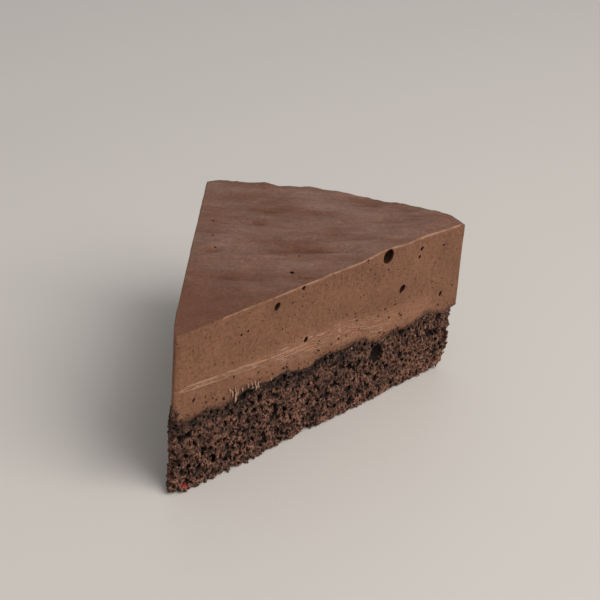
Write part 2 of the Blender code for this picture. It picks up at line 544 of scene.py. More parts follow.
# The top without its ripples: it swells along one side, leans, and bulges over the large bubble.
TOP_SWELL, TOP_LEAN = 0.0012, 0.0008
BULGE_FROM_TIP, BULGE_HEIGHT, BULGE_RADIUS = 0.0740, 0.0012, 0.0080
# How the top rises to the shown corner of the rim and falls at its edge: the height, the distances from
# the tip between which it comes in, and how far it reaches from the shown cut.
CORNER_RISES = (
    (0.0012, 0.078, 0.090, 0.012),
    (0.0006, 0.080, 0.096, 0.036),
    (-0.0010, 0.082, 0.098, 0.0035),
)
# Ripples along the stroke: share of the height, how much they are drawn out, length, and layer of noise.
TOP_RIPPLES = ((0.50, 0.30, 0.0074, 3.1), (0.36, 0.38, 0.0034, 9.7), (0.20, 0.50, 0.0017, 6.4))
# Other unevenness: height, length, and layer of noise.
TOP_WAVE = (0.0004, 0.020, 5.2)
RIM_LINE_WAVES = ((0.00050, 0.0064, 15.3), (0.00026, 0.0021, 18.8), (0.00012, 0.0009, 12.4))
CUT_WAVES = ((0.00035, 0.022, 42.0), (0.00010, 0.0045, 52.0))
SCRATCH_WAVE = (0.00022, 0.0009, 71.0)
# The waves of the cuts are full from this far from the tip. The ridges of the scratches keep to their band.
CUT_WAVES_FULL_FROM_TIP = 0.024
SCRATCH_BAND_HALF_HEIGHT = 0.0030
# The ragged line along the rim: how fast it fades inward and where it ends, how near a corner it fades, and
# how deep and over which length it sinks there.
RIM_LINE_DEPTH, RIM_LINE_ENDS, RIM_LINE_FADES_AT_CORNER = 0.0012, 0.004, 0.004
CORNER_DROP, CORNER_DROP_LENGTH = 0.0004, 0.0014
# The tip leans back: how far, over which share of the slice, from which height, and over which height.
TIP_LEAN, TIP_LEAN_SHARE, TIP_LEAN_FROM, TIP_LEAN_OVER = 0.0011, 0.2, 0.022, 0.021

# Bubbles that the shown cut opened: distance from the tip, height, radius, and how much taller than wide.
SHOWN_BUBBLES = (
    (73.8, 43.2, 1.88, 1.13),
    (80.3, 31.6, 1.02, 1.35),
    (34.2, 41.1, 0.92, 1.25),
    (44.7, 28.1, 0.66, 1.30),
    (43.0, 43.5, 0.56, 1.10),
    (86.7, 41.8, 0.52, 1.50),
    (86.2, 39.5, 0.46, 1.40),
    (95.9, 40.3, 0.36, 1.30),
    (96.8, 24.9, 0.56, 1.50),
    (65.9, 44.3, 0.32, 1.10),
    (74.0, 39.3, 0.30, 1.00),
    (78.1, 27.5, 0.36, 1.00),
    (76.1, 24.1, 0.42, 0.90),
    (74.1, 27.4, 0.32, 1.00),
    (57.0, 24.0, 0.40, 1.00),
    (49.6, 26.0, 0.28, 1.00),
    (80.5, 37.6, 0.26, 1.20),
    (22.6, 37.0, 0.34, 1.00),
    (24.8, 37.4, 0.30, 1.00),
    (20.6, 25.9, 0.32, 1.20),
    (8.0, 24.0, 0.34, 1.40),
    (14.0, 22.2, 0.28, 1.00),
    (51.0, 41.8, 0.24, 1.00),
)
# The scattered bubbles: the smallest and the largest radius, how much the radius spreads on the shown cut
# and elsewhere, the lowest, how near the upper edge, and the mousse that is left between two of them.
SMALLEST_BUBBLE, LARGEST_BUBBLE = 0.00013, 0.00085
SHOWN_SPREAD, OTHER_SPREAD = 0.00006, 0.00011
LOWEST_BUBBLE, BUBBLES_BELOW_TOP, BETWEEN_BUBBLES = 0.0215, 0.0008, 0.0003
# Away from this stretch of the shown cut most of the scattered bubbles are left out.
MANY_BUBBLES_FROM, MANY_BUBBLES_TO, LEFT_OUT = 0.038, 0.082, 0.7
# How deep the middle of a placed bubble or pit lies inside the surface, as a share of its radius.
SUNK = 0.15
# Pits of the top: along the slice and across it, and the radius.
TOP_PITS = (
    (45.5, -10.4, 0.62),
    (65.8, 22.7, 0.40),
    (56.5, 17.9, 0.34),
    (55.0, -8.1, 0.36),
    (63.0, -18.4, 0.32),
    (50.1, 14.0, 0.38),
)
# Dimples of the top: along, across, half their length along the stroke, half their width, and depth. The
# ones with a depth below 0 are ridges.
TOP_DIMPLES = (
    (69.9, 10.9, 2.8, 1.3, 0.95),
    (73.4, 12.0, 4.6, 1.0, -0.42),
    (78.2, 13.0, 6.0, 1.3, 0.40),
    (47.8, 14.0, 2.2, 1.1, 0.80),
    (51.5, 15.3, 2.6, 0.9, -0.62),
    (46.0, 8.5, 6.0, 0.9, -0.40),
    (49.8, 1.0, 6.0, 1.0, -0.42),
    (60.0, -10.0, 6.5, 1.5, 0.75),
    (50.2, -10.5, 6.0, 1.6, -0.60),
    (45.0, -15.0, 4.0, 1.5, 0.60),
    (55.5, -2.0, 5.0, 1.0, 0.40),
    (66.0, -3.0, 6.0, 1.0, -0.32),
    (72.5, -9.8, 2.2, 0.9, 0.55),
    (76.0, -24.3, 3.6, 1.6, -0.50),
    (68.5, -18.0, 3.6, 1.4, -0.36),
    (83.2, -1.9, 8.0, 1.5, 0.42),
    (86.1, -20.3, 6.0, 1.5, 0.45),
    (88.5, 8.0, 7.0, 1.2, -0.30),
    (60.0, 16.0, 5.0, 1.1, 0.36),
    (36.0, 2.0, 6.0, 1.6, 0.46),
    (32.0, -3.0, 4.0, 1.2, -0.30),
    (24.0, 1.0, 3.5, 1.4, 0.34),
)


def wave(x, y, z, height, length, layer):
    """A smooth unevenness, between plus and minus about the height."""
    return height * noise.noise(Vector((x / length, y / length, layer + z / length)))


def waves(x, y, z, rows, shift=0.0):
    """The sum of several such waves."""
    total = 0.0
    for height, length, layer in rows:
        total += wave(x, y, z, height, length, layer + shift)
    return total


def plan_place(along, across, inset, bluntness):
    """A point of the outline seen from above: along is 0 at the tip and 1 at the rim, across is -1 and 1
    at the cuts. The tip is rounded as a hyperbola."""
    angle = across * HALF_ANGLE
    distance = along * distance_to_rim(angle, inset)
    ahead = math.hypot(distance * math.cos(angle), bluntness)
    return Vector((ahead, distance * math.sin(angle), 0.0))


def middle_height(x, y):
    """Where the sponge ends and the mousse begins."""
    height_here = MIDDLE_HEIGHT
    for height, length, direction, phase in MIDDLE_WAVES:
        turned = math.radians(direction)
        travelled = x * math.cos(turned) + y * math.sin(turned)
        turn = travelled * (2.0 * math.pi / length) + math.radians(phase)
        height_here = height_here + height * sine_of(turn)
    return height_here


def sine_of(value):
    return value.sin() if isinstance(value, Num) else np.sin(value)


def stroke_coordinates(x, y):
    """How far a place is across the palette knife's stroke, and along it."""
    across = x * math.cos(STROKE_TURN) + y * math.sin(STROKE_TURN)
    along = y * math.cos(STROKE_TURN) - x * math.sin(STROKE_TURN)
    return across, along


def smooth_step(value, low, high):
    """Goes smoothly from 0 to 1 between the two limits."""
    share = max(0.0, min(1.0, (value - low) / (high - low)))
    return share * share * (3.0 - 2.0 * share)


def plain_top(x, y, along, across):
    """The top without its ripples. It rises to the shown corner of the rim."""
    swell = TOP_SWELL * 4.0 * along * (1.0 - along) * (1.0 - across) / 2.0
    lean = TOP_LEAN * along**2 * across
    bubble = SHOWN_CUT * BULGE_FROM_TIP
    bulge = BULGE_HEIGHT * math.exp(-(((Vector((x, y)) - bubble).length / BULGE_RADIUS) ** 2))
    reach = math.hypot(x, y)
    to_cut = reach * (1.0 + across) * HALF_ANGLE
    rise = 0.0
    for height, start, end, wide in CORNER_RISES:
        rise += height * smooth_step(reach, start, end) * math.exp(-((to_cut / wide) ** 2))
    return SLICE_HEIGHT + swell - lean + bulge + rise


def top_relief(x, y, across, ripple_height):
    """The palette knife left ripples and dimples along its stroke."""
    u, v = stroke_coordinates(x, y)
    ripple = 0.0
    for share, drawn_out, length, layer in TOP_RIPPLES:
        ripple += wave(u, v * drawn_out, 0.0, ripple_height * share, length, layer)
    ripple *= 1.0 - 0.8 * abs(across) ** 8
    ripple += wave(x, y, 0.0, *TOP_WAVE)
    for at_x, at_y, long, wide, deep in TOP_DIMPLES:
        du, dv = stroke_coordinates(x - at_x * MM, y - at_y * MM)
        away = (du / (wide * MM)) ** 2 + (dv / (long * MM)) ** 2
        if away < 9.0:
            ripple -= deep * MM * math.exp(-away)
    return ripple


def top_height(x, y, along, across, ripple_height):
    return plain_top(x, y, along, across) + top_relief(x, y, across, ripple_height)


def rim_rag(angle, to_rim):
    """The line along the rim is ragged where the palette knife left it, and sinks to the corners."""
    if to_rim > RIM_LINE_ENDS:
        return 0.0
    rag = waves(angle * CAKE_RADIUS, 0.0, 0.0, RIM_LINE_WAVES)
    to_corner = (1.0 - abs(angle) / HALF_ANGLE) * HALF_ANGLE * CAKE_RADIUS
    rag *= min(1.0, to_corner / RIM_LINE_FADES_AT_CORNER)
    rag -= CORNER_DROP * math.exp(-((to_corner / CORNER_DROP_LENGTH) ** 2))
    return rag * math.exp(-((to_rim / RIM_LINE_DEPTH) ** 2))


def half_sheet_edges(share, width, radius, steps):
    """Moves even steps across a sheet so that two rows lie close to its edge, for a round edge there."""
    step = 2.0 / steps
    near = min(radius, 0.3 * width)
    return float(np.interp(share, (0.0, step, 2.0 * step, 1.0), (0.0, 0.3 * near, near, width)))


def edge_drop(distance, radius):
    """How far a round edge has dropped at this distance from it."""
    if distance >= radius:
        return 0.0
    return radius - math.sqrt(max(0.0, radius**2 - (radius - distance) ** 2))


def flat_sector(steps_along, steps_across):
    """A flat sector of a disc with a radius of 1, its tip on the Z axis, divided in steps."""
    sheet = bmesh.new()
    start = Matrix.Rotation(-HALF_ANGLE, 3, "Z")
    ridge = [
        sheet.verts.new(start @ Vector((step / steps_along, 0.0, 0.0))) for step in range(steps_along + 1)
    ]
    edges = [sheet.edges.new(pair) for pair in zip(ridge, ridge[1:])]
    bmesh.ops.spin(
        sheet, geom=ridge + edges, axis=(0.0, 0.0, 1.0), cent=(0.0, 0.0, 0.0),
        angle=2.0 * HALF_ANGLE, steps=steps_across,
    )
    bmesh.ops.remove_doubles(sheet, verts=sheet.verts, dist=1e-6)
    return sheet


def mousse_block():
    """The sector with its sides drawn down in steps, and closed below by one face."""
    block = flat_sector(STEPS_FROM_TIP_TO_RIM, STEPS_ACROSS)
    bmesh.ops.translate(block, verts=block.verts, vec=(0.0, 0.0, 1.0))
    edges = [edge for edge in block.edges if edge.is_boundary]
    for step in range(STEPS_UP):
        drawn = bmesh.ops.extrude_edge_only(block, edges=edges)["geom"]
        corners = [item for item in drawn if isinstance(item, bmesh.types.BMVert)]
        bmesh.ops.translate(block, verts=corners, vec=(0.0, 0.0, -1.0 / STEPS_UP))
        edges = [
            item for item in drawn
            if isinstance(item, bmesh.types.BMEdge) and item.verts[0].co.z == item.verts[1].co.z
        ]
    closing = bmesh.ops.holes_fill(block, edges=edges, sides=0)["faces"]
    bmesh.ops.triangulate(block, faces=closing)
    bmesh.ops.recalc_face_normals(block, faces=block.faces)
    return block


def mousse_place(corner, radius, ripple_height):
    """Where a corner of the block belongs in the real mousse."""
    reach = corner.xy.length
    across = math.atan2(corner.y, corner.x) / HALF_ANGLE if reach > 1e-6 else 0.0
    across = max(-1.0, min(1.0, across))
    on_sheet = corner.z > 1.0 - 1e-6
    angle = across * HALF_ANGLE
    full = distance_to_rim(angle, 0.0)
    to_rim = half_sheet_edges(1.0 - reach, full, radius, 2 * STEPS_FROM_TIP_TO_RIM)
    along = 1.0 - to_rim / full
    width = along * full * math.tan(HALF_ANGLE)
    to_cut = half_sheet_edges(1.0 - abs(across), max(width, 1e-9), radius, STEPS_ACROSS)
    spread = math.copysign(1.0 - to_cut / max(width, 1e-9), across) if across else 0.0
    place = plan_place(along, spread, 0.0, MOUSSE_TIP_BLUNTNESS)
    x, y = place.x, place.y
    soft = radius * (0.7 + 0.6 * noise.noise(Vector((x / 0.004, y / 0.004, 1.7))))
    top = top_height(x, y, along, spread, ripple_height) + rim_rag(spread * HALF_ANGLE, to_rim)
    if on_sheet:
        drop = max(edge_drop(to_cut, soft), edge_drop(to_rim, soft))
        place.z = top - drop
    else:
        bottom = middle_height(x, y) - OVERLAP
        place.z = bottom + corner.z * (top - soft - bottom)
    near_tip = max(0.0, 1.0 - along / TIP_LEAN_SHARE)
    place.x += TIP_LEAN * near_tip * max(0.0, place.z - TIP_LEAN_FROM) / TIP_LEAN_OVER
    if abs(across) > 1.0 - 1e-6:
        share = min(1.0, along * full / CUT_WAVES_FULL_FROM_TIP)
        normal = SHOWN_CUT_OUT if across < 0.0 else OTHER_CUT_OUT
        place.xy += normal * (share * cut_unevenness(x, y, place.z, along * full, across))
    elif reach > 1.0 - 1e-6:
        place.xy += place.xy.normalized() * rim_unevenness(x, y, place.z)
    return place


def cut_unevenness(x, y, z, distance, across):
    """How far the cut stands out of its plane: a knife doesn't cut quite flat."""
    return waves(x, y, z, CUT_WAVES, across) + scratch_relief(distance, z, across)


def rim_unevenness(x, y, z):
    """How far the rim stands out of a perfect cylinder. It is most uneven at the top."""
    out = wave(x, y, z * 0.5, 0.00022, 0.009, 61.0)
    return out + wave(x, y, z * 0.4, 0.00026, 0.0026, 64.0) * (z / SLICE_HEIGHT) ** 6


# The middle of the band of scratches: distance from the tip and height.
BAND = ((0.0, 28.2), (12.0, 27.5), (22.0, 27.0), (34.0, 26.3), (45.0, 26.2), (57.0, 25.8), (72.0, 23.2))


def band_height(distance):
    """The middle of the band of scratches at this distance from the tip."""
    return np.interp(distance, [at * MM for at, _ in BAND], [height * MM for _, height in BAND])


def scratch_relief(distance, height, across):
    """The low ridges in the band of scratches."""
    above = float(height - band_height(distance))
    if abs(above) > SCRATCH_BAND_HALF_HEIGHT:
        return 0.0
    share = 1.0 - (above / SCRATCH_BAND_HALF_HEIGHT) ** 2
    return share * waves(distance * 0.05, above, 0.0, (SCRATCH_WAVE,), across)


def bubble_matrix(place, radius, taller, turn):
    """Puts a ball of radius 1 in place, made taller and turned about the vertical."""
    size = Matrix.Diagonal((radius, radius, radius * taller, 1.0))
    return Matrix.Translation(place) @ turn.to_matrix().to_4x4() @ size


def add_bubble(cutters, matrix, divisions, layer):
    """Adds one slightly uneven bubble to the mesh that cuts the mousse."""
    made = bmesh.ops.create_icosphere(cutters, subdivisions=divisions, radius=1.0)["verts"]
    for corner in made:
        swell = 1.0 + 0.12 * noise.noise(corner.co * 1.1 + Vector((layer, layer * 0.7, 0.0)))
        corner.co = matrix @ (corner.co * swell)


def bubble_list(count, ripple_height, chances):
    """Every bubble: the middle, the radius and how much taller than wide it is."""
    bubbles = []
    for distance, height, radius, taller in SHOWN_BUBBLES:
        flat = SHOWN_CUT * (distance * MM) - SHOWN_CUT_OUT * (radius * MM * SUNK)
        bubbles.append((Vector((flat.x, flat.y, height * MM)), radius * MM, taller))
    for x, y, radius in TOP_PITS:
        along = x * MM / (CUT_LENGTH * math.cos(HALF_ANGLE))
        across = math.atan2(y, x) / HALF_ANGLE
        top = top_height(x * MM, y * MM, along, across, ripple_height)
        bubbles.append((Vector((x * MM, y * MM, top - radius * MM * SUNK)), radius * MM, 0.8))
    tries = 0
    while len(bubbles) < count + len(SHOWN_BUBBLES) + len(TOP_PITS) and tries < 20 * count:
        tries += 1
        side = chances.choice((SHOWN_CUT, SHOWN_CUT, OTHER_CUT, OTHER_CUT, None))
        spread = SHOWN_SPREAD if side is SHOWN_CUT else OTHER_SPREAD
        radius = min(LARGEST_BUBBLE, SMALLEST_BUBBLE + chances.expovariate(1.0 / spread))
        height = chances.uniform(LOWEST_BUBBLE, SLICE_HEIGHT - BUBBLES_BELOW_TOP)
        if side is None:
            angle = chances.uniform(-0.97, 0.97) * HALF_ANGLE
            reach = distance_to_rim(angle, 0.0) - radius * chances.uniform(-0.2, 0.5)
            flat = Vector((math.cos(angle), math.sin(angle))) * reach
        else:
            out = SHOWN_CUT_OUT if side is SHOWN_CUT else OTHER_CUT_OUT
            distance = chances.uniform(0.006, CUT_LENGTH - 0.003)
            few = side is SHOWN_CUT and not MANY_BUBBLES_FROM < distance < MANY_BUBBLES_TO
            if few and chances.random() < LEFT_OUT:
                continue
            flat = side * distance - out * (radius * chances.uniform(-0.3, 0.6))
        place = Vector((flat.x, flat.y, height))
        apart = all(
            (place - other[0]).length > radius + other[1] * other[2] + BETWEEN_BUBBLES for other in bubbles
        )
        if apart:
            bubbles.append((place, radius, chances.uniform(0.85, 1.25)))
    return bubbles


def bubble_matrices(bubbles, chances):
    """What puts a ball of radius 1 in the place of each bubble. They lean along the shown cut."""
    matrices = []
    for place, radius, taller in bubbles:
        aside = SHOWN_CUT * chances.uniform(0.7, 1.1)
        turn = Vector((0.0, 0.0, 1.0)).rotation_difference(Vector((aside.x, aside.y, 1.0)))
        matrices.append(bubble_matrix(place, radius, taller, turn))
    return matrices


def cut_bubbles(piece, bubbles, matrices):
    """Opens the bubbles in the mousse."""
    cutters = bmesh.new()
    for number, (matrix, (_, radius, _)) in enumerate(zip(matrices, bubbles)):
        divisions = 4 if radius > 0.0009 else 3 if radius > 0.0004 else 2
        add_bubble(cutters, matrix, divisions, number * 3.1)
    mesh = bpy.data.meshes.new("bubbles")
    cutters.to_mesh(mesh)
    cutters.free()
    cutter = bpy.data.objects.new("bubbles", mesh)
    bpy.context.scene.collection.objects.link(cutter)
    boolean = piece.modifiers.new("bubbles", "BOOLEAN")
    boolean.operation = "DIFFERENCE"
    boolean.object = cutter
    boolean.solver = "EXACT"
    settle(piece)
    bpy.data.objects.remove(cutter)
    if not piece.data.polygons:
        raise RuntimeError("the bubbles could not be cut: two of them may overlap")


def settle(piece):
    """Applies a piece's modifiers to its mesh."""
    graph = bpy.context.evaluated_depsgraph_get()
    mesh = bpy.data.meshes.new_from_object(piece.evaluated_get(graph), depsgraph=graph)
    piece.modifiers.clear()
    old = piece.data
    piece.data = mesh
    bpy.data.meshes.remove(old)
    mesh.name = piece.name


def corner_array(mesh):
    """The places of a mesh's corners, measured from where the cuts meet."""
    places = np.empty(len(mesh.vertices) * 3, np.float32)
    mesh.vertices.foreach_get("co", places)
    return places.reshape(-1, 3).astype(float)


def store(mesh, name, values):
    """Keeps one number for each corner of a mesh, for its material."""
    kept = mesh.attributes.new(name, "FLOAT", "POINT")
    kept.data.foreach_set("value", np.asarray(values, np.float32))


# A corner is in a bubble within this many radii. Nearer the top than SKIN_DEPTH it is on the skin, except
# in the bubble of a pit. The skin ends at the edges, which are EDGE_WIDTH wide.
IN_BUBBLE = 1.16
SKIN_DEPTH = 0.00008
LOWEST_SKIN, SKIN_FROM_EDGE, FACES_UP = 0.0013, 0.00010, 0.6
EDGE_WIDTH = 0.00022
PIT_FROM_CUT = 0.003


def mark_mousse(mesh, bubbles, matrices, ripple_height):
    """Tells the material where the skin, the cuts, the edges and the insides of bubbles are, and how high
    the relief of the top is. From these the material paints sheen and shade on the top, a highlight on the
    edges, and shade in the bubbles.
    """
    places = corner_array(mesh)
    x, y, z = places.T
    to_shown = -(x * SHOWN_CUT_OUT.x + y * SHOWN_CUT_OUT.y)
    to_other = -(x * OTHER_CUT_OUT.x + y * OTHER_CUT_OUT.y)
    shown_nearer = to_shown < to_other
    along = np.where(
        shown_nearer, x * SHOWN_CUT.x + y * SHOWN_CUT.y, x * OTHER_CUT.x + y * OTHER_CUT.y
    )
    to_rim = CAKE_RADIUS - np.hypot(x - CUTS_MEET_OFF_CENTRE.x, y - CUTS_MEET_OFF_CENTRE.y)
    to_cut = np.minimum(to_shown, to_other)
    to_side = np.minimum(to_cut, to_rim)
    shares = np.minimum(1.0, np.hypot(x, y) / CUT_LENGTH)
    turns = np.arctan2(y, x) / HALF_ANGLE
    on_rim = to_rim < to_cut
    round_rim = CUT_LENGTH + (turns + 1.0) * HALF_ANGLE * CAKE_RADIUS
    relief = np.array([top_relief(px, py, turn, ripple_height) for px, py, turn in zip(x, y, turns)])
    plain = np.array([plain_top(px, py, share, turn) for px, py, share, turn in zip(x, y, shares, turns)])
    below_top = plain + relief - z
    depth = np.zeros(len(x))
    for (place, radius, _), matrix in zip(bubbles, matrices):
        inverse = np.array(matrix.inverted())
        local = places @ inverse[:3, :3].T + inverse[:3, 3]
        from_top = place.z > SLICE_HEIGHT and -place.xy.dot(SHOWN_CUT_OUT) > PIT_FROM_CUT
        for index in np.nonzero(np.linalg.norm(local, axis=1) < IN_BUBBLE)[0]:
            px, py, pz = places[index]
            if from_top:
                inward = below_top[index]
            elif below_top[index] < SKIN_DEPTH:
                continue
            elif on_rim[index]:
                inward = to_rim[index] + rim_unevenness(px, py, pz)
            else:
                across = -1.0 if shown_nearer[index] else 1.0
                inward = to_cut[index] + cut_unevenness(px, py, pz, along[index], across)
            depth[index] = max(0.0, inward / radius)
    normals = np.empty(len(mesh.vertices) * 3, np.float32)
    mesh.vertices.foreach_get("normal", normals)
    normals = normals.reshape(-1, 3)
    store(mesh, "depth", depth)
    store(mesh, "relief", relief)
    up = (below_top < LOWEST_SKIN) & (normals[:, 2] > FACES_UP) & (to_side > SKIN_FROM_EDGE)
    store(mesh, "skin", np.where(up, 1.0, 0.0))
    # The upper edges, where the material paints a pale highlight.
    at_edge = (below_top < EDGE_WIDTH) & (to_side < EDGE_WIDTH)
    store(mesh, "top_edge", np.where(at_edge, 1.0, 0.0))
    above_band = z - band_height(along)
    along = np.where(shown_nearer, along, along + OTHER_CUT_SHIFT)
    store(mesh, "along_cut", np.where(on_rim, round_rim, along))
    store(mesh, "above_band", above_band)
    store(mesh, "over_line", z - middle_height(x, y))


class CAKE_SLICE_OT_add_mousse(bpy.types.Operator):
    """Adds the layer of set mousse"""

    bl_idname = "cake_slice.add_mousse"
    bl_label = "Add mousse"

    def execute(self, context):
        settings = context.scene.cake_slice.mousse
        chances = random.Random(11)
        block = mousse_block()
        for corner in block.verts:
            corner.co = mousse_place(corner.co.copy(), settings.edge_radius, settings.ripple_height)
        piece = piece_from(block, "mousse")
        bubbles = bubble_list(settings.bubbles, settings.ripple_height, chances)
        matrices = bubble_matrices(bubbles, chances)
        cut_bubbles(piece, bubbles, matrices)
        mark_mousse(piece.data, bubbles, matrices, settings.ripple_height)
        finish_piece(piece, mousse_material(settings))
        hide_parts("mousse_layer")
        return {"FINISHED"}


def piece_from(shape, name):
    """Makes an object of a finished bmesh."""
    mesh = bpy.data.meshes.new(name)
    shape.to_mesh(mesh)
    shape.free()
    piece = bpy.data.objects.new(name, mesh)
    bpy.context.scene.collection.objects.link(piece)
    return piece


def finish_piece(piece, material, smooth=True):
    """Puts a piece in its place in the frame, and gives it its material and its body."""
    piece.data.transform(Matrix.Translation(TIP))
    piece.data.materials.clear()
    piece.data.materials.append(material)
    if smooth:
        piece.data.shade_smooth()
    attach(piece, BODY)


# ---- The sponge ----

SPONGE_FACES = 190000
# Pores in millimetres: how far apart, the smallest radius, how much larger the largest is, and how deep.
PORES = ((1.25, 0.14, 0.44, 1.3), (2.1, 0.10, 0.75, 1.8), (3.6, 0.10, 0.95, 2.2))
# Large holes that the shown cut opened: distance from the tip, height, half width, half height, depth.
SHOWN_HOLES = (
    (72.4, 14.2, 2.1, 2.8, 2.6),
    (70.1, 2.0, 1.7, 0.9, 1.6),
    (29.0, 17.0, 0.8, 1.6, 1.6),
    (34.8, 10.3, 0.9, 2.3, 1.5),
    (5.5, 15.2, 1.2, 1.1, 1.4),
    (3.1, 8.0, 1.0, 1.0, 1.4),
    (94.5, 12.6, 1.6, 1.0, 1.4),
    (44.3, 11.5, 0.9, 1.0, 1.3),
    (56.2, 10.7, 0.8, 0.9, 1.3),
    (81.9, 17.4, 0.9, 0.9, 1.3),
    (9.2, 4.6, 0.9, 0.9, 1.3),
    (14.0, 4.9, 0.9, 1.2, 1.3),
    (23.5, 19.4, 1.2, 1.0, 1.4),
)


def sponge_field(tree, place):
    """How far a place is outside the sponge before it has any crumb, in millimetres: from its sides, and
    from all of it."""
    x, y, z = (part * 1000.0 for part in parts(tree, place))
    shift = (SPONGE_TIP_REACH + SPONGE_TIP_BLUNTNESS - MOUSSE_TIP_BLUNTNESS) * 1000.0
    drawn_x = x * (1.0 - shift / (CUT_LENGTH * 1000.0)) + shift
    sine, cosine = math.sin(HALF_ANGLE), math.cos(HALF_ANGLE)
    uneven = (cloud(tree, place, 0.011, 2.0) - 0.5) * 1.2
    foot = (1.0 - z / 9.0).most(0.0)
    flare = foot * foot * (x.ramp(20.0, 34.0, 1.3, 0.0) + x.ramp(60.0, 72.0, 0.8, 0.0))
    shown = drawn_x * -sine - y * cosine + uneven - flare
    other = drawn_x * -sine + y * cosine + uneven + 0.3
    centre = CUTS_MEET_OFF_CENTRE * 1000.0
    from_centre = ((x - centre.x) * (x - centre.x) + (y - centre.y) * (y - centre.y)).math("SQRT")
    taper = SPONGE_TAPER_AT_RIM * 1000.0 * (1.0 - z / (MIDDLE_HEIGHT * 1000.0))
    rim = from_centre - (CAKE_RADIUS - SPONGE_INSET_AT_RIM) * 1000.0 + taper + uneven * 0.4
    ragged = (cloud(tree, place, 0.003, 2.0) - 0.5) * 0.8
    below = ragged - z + 0.2
    tip_rounding = 6.0 * sine * SPONGE_TIP_BLUNTNESS * 1000.0
    sides = shown.soft_most(other, tip_rounding).soft_most(rim, 1.2)
    above = z - middle_height(x * MM, y * MM) * 1000.0 - 0.2
    whole = sides.soft_most(below, 1.2).most(rim.soft_most(below, 9.0)).most(above)
    return sides, above, whole


def crumb_field(tree, place, sides, above, whole):
    """The sponge's distance with the grains, pores and holes of its sides."""
    at_side = sides.ramp(-3.5, -2.0)
    large_grain, _ = cells(tree, place, 0.0015)
    small_grain, _ = cells(tree, place, 0.00085)
    knobs = large_grain * 300.0 + small_grain * 560.0 - 0.36
    rough = (cloud(tree, place, 0.00085, 3.0, 0.7) - 0.5) * 1.5
    fine = fine_crumb(tree, vector(tree, "ADD", place, tuple(TIP)))
    shape = whole + (knobs + rough) * at_side
    shape = shape.soft_most((fine * -1.3).least(sides + 0.9), 0.1)
    for apart, smallest, spread, deepest in PORES:
        moved = vector(tree, "ADD", place, (apart * 3.3, apart * 7.1, apart * 1.9))
        distance, chance = cells(tree, moved, apart * MM)
        hole = chance * spread + smallest - distance * 1000.0 + rough * 0.3
        shape = shape.soft_most(hole.least(sides + deepest), 0.2)
    x, y, z = (part * 1000.0 for part in parts(tree, place))
    along = x * SHOWN_CUT.x + y * SHOWN_CUT.y
    outward = x * SHOWN_CUT_OUT.x + y * SHOWN_CUT_OUT.y
    for distance, height, wide, tall, deep in SHOWN_HOLES:
        run = (along - distance) / wide
        rise = (z - height) / tall
        into = outward / deep
        away = (run * run + into * into + rise * rise).math("SQRT")
        shape = shape.soft_most((1.0 - away) * min(wide, tall, deep) + rough * 0.5, 0.3)
    return shape.most(above).most(z * -1.0 + 0.05)


def sponge_nodes(voxel):
    """Geometry nodes that fill the slice with crumb and draw its surface."""
    tree = bpy.data.node_groups.new("sponge crumb", "GeometryNodeTree")
    tree.interface.new_socket("Geometry", in_out="OUTPUT", socket_type="NodeSocketGeometry")
    position = tree.nodes.new("GeometryNodeInputPosition").outputs[0]
    sides, above, whole = sponge_field(tree, position)
    shape = crumb_field(tree, position, sides, above, whole)
    low = SPONGE_BOX[0] - TIP - Vector((0.002, 0.002, 0.001))
    high = SPONGE_BOX[1] - TIP + Vector((0.002, 0.002, 0.002))
    cube = tree.nodes.new("GeometryNodeVolumeCube")
    plug(tree, 0.5 - shape, cube.inputs["Density"])
    cube.inputs["Background"].default_value = 0.0
    cube.inputs["Min"].default_value = low
    cube.inputs["Max"].default_value = high
    for axis, name in enumerate(("Resolution X", "Resolution Y", "Resolution Z")):
        cube.inputs[name].default_value = int((high[axis] - low[axis]) / voxel)
    surface = tree.nodes.new("GeometryNodeVolumeToMesh")
    tree.links.new(cube.outputs["Volume"], surface.inputs["Volume"])
    surface.inputs["Threshold"].default_value = 0.5
    surface.inputs["Adaptivity"].default_value = 0.0
    # The depth below the plain sponge. From it the material paints shade into the pores and hollows and a
    # highlight on the ridges.
    kept = tree.nodes.new("GeometryNodeStoreNamedAttribute")
    kept.data_type = "FLOAT"
    kept.domain = "POINT"
    kept.inputs["Name"].default_value = "depth"
    tree.links.new(surface.outputs["Mesh"], kept.inputs["Geometry"])
    plug(tree, whole * -0.001, kept.inputs["Value"])
    output = tree.nodes.new("NodeGroupOutput")
    tree.links.new(kept.outputs["Geometry"], output.inputs[0])
    return tree


def thin_out(piece, faces):
    """Leaves a piece about this many triangles, fewest where it is smooth."""
    piece.data.calc_loop_triangles()
    thinner = piece.modifiers.new("thinner", "DECIMATE")
    thinner.ratio = min(1.0, faces / len(piece.data.loop_triangles))
    settle(piece)


def keep_largest(piece):
    """Removes what isn't joined to the largest body, such as closed bubbles inside it."""
    shape = bmesh.new()
    shape.from_mesh(piece.data)
    shape.verts.ensure_lookup_table()
    body = [-1] * len(shape.verts)
    sizes = []
    for first in shape.verts:
        if body[first.index] >= 0:
            continue
        number = len(sizes)
        body[first.index] = number
        waiting = [first]
        size = 0
        while waiting:
            corner = waiting.pop()
            size += 1
            for edge in corner.link_edges:
                other = edge.other_vert(corner)
                if body[other.index] < 0:
                    body[other.index] = number
                    waiting.append(other)
        sizes.append(size)
    largest = sizes.index(max(sizes))
    stray = [corner for corner in shape.verts if body[corner.index] != largest]
    bmesh.ops.delete(shape, geom=stray, context="VERTS")
    bmesh.ops.recalc_face_normals(shape, faces=shape.faces)
    shape.to_mesh(piece.data)
    shape.free()


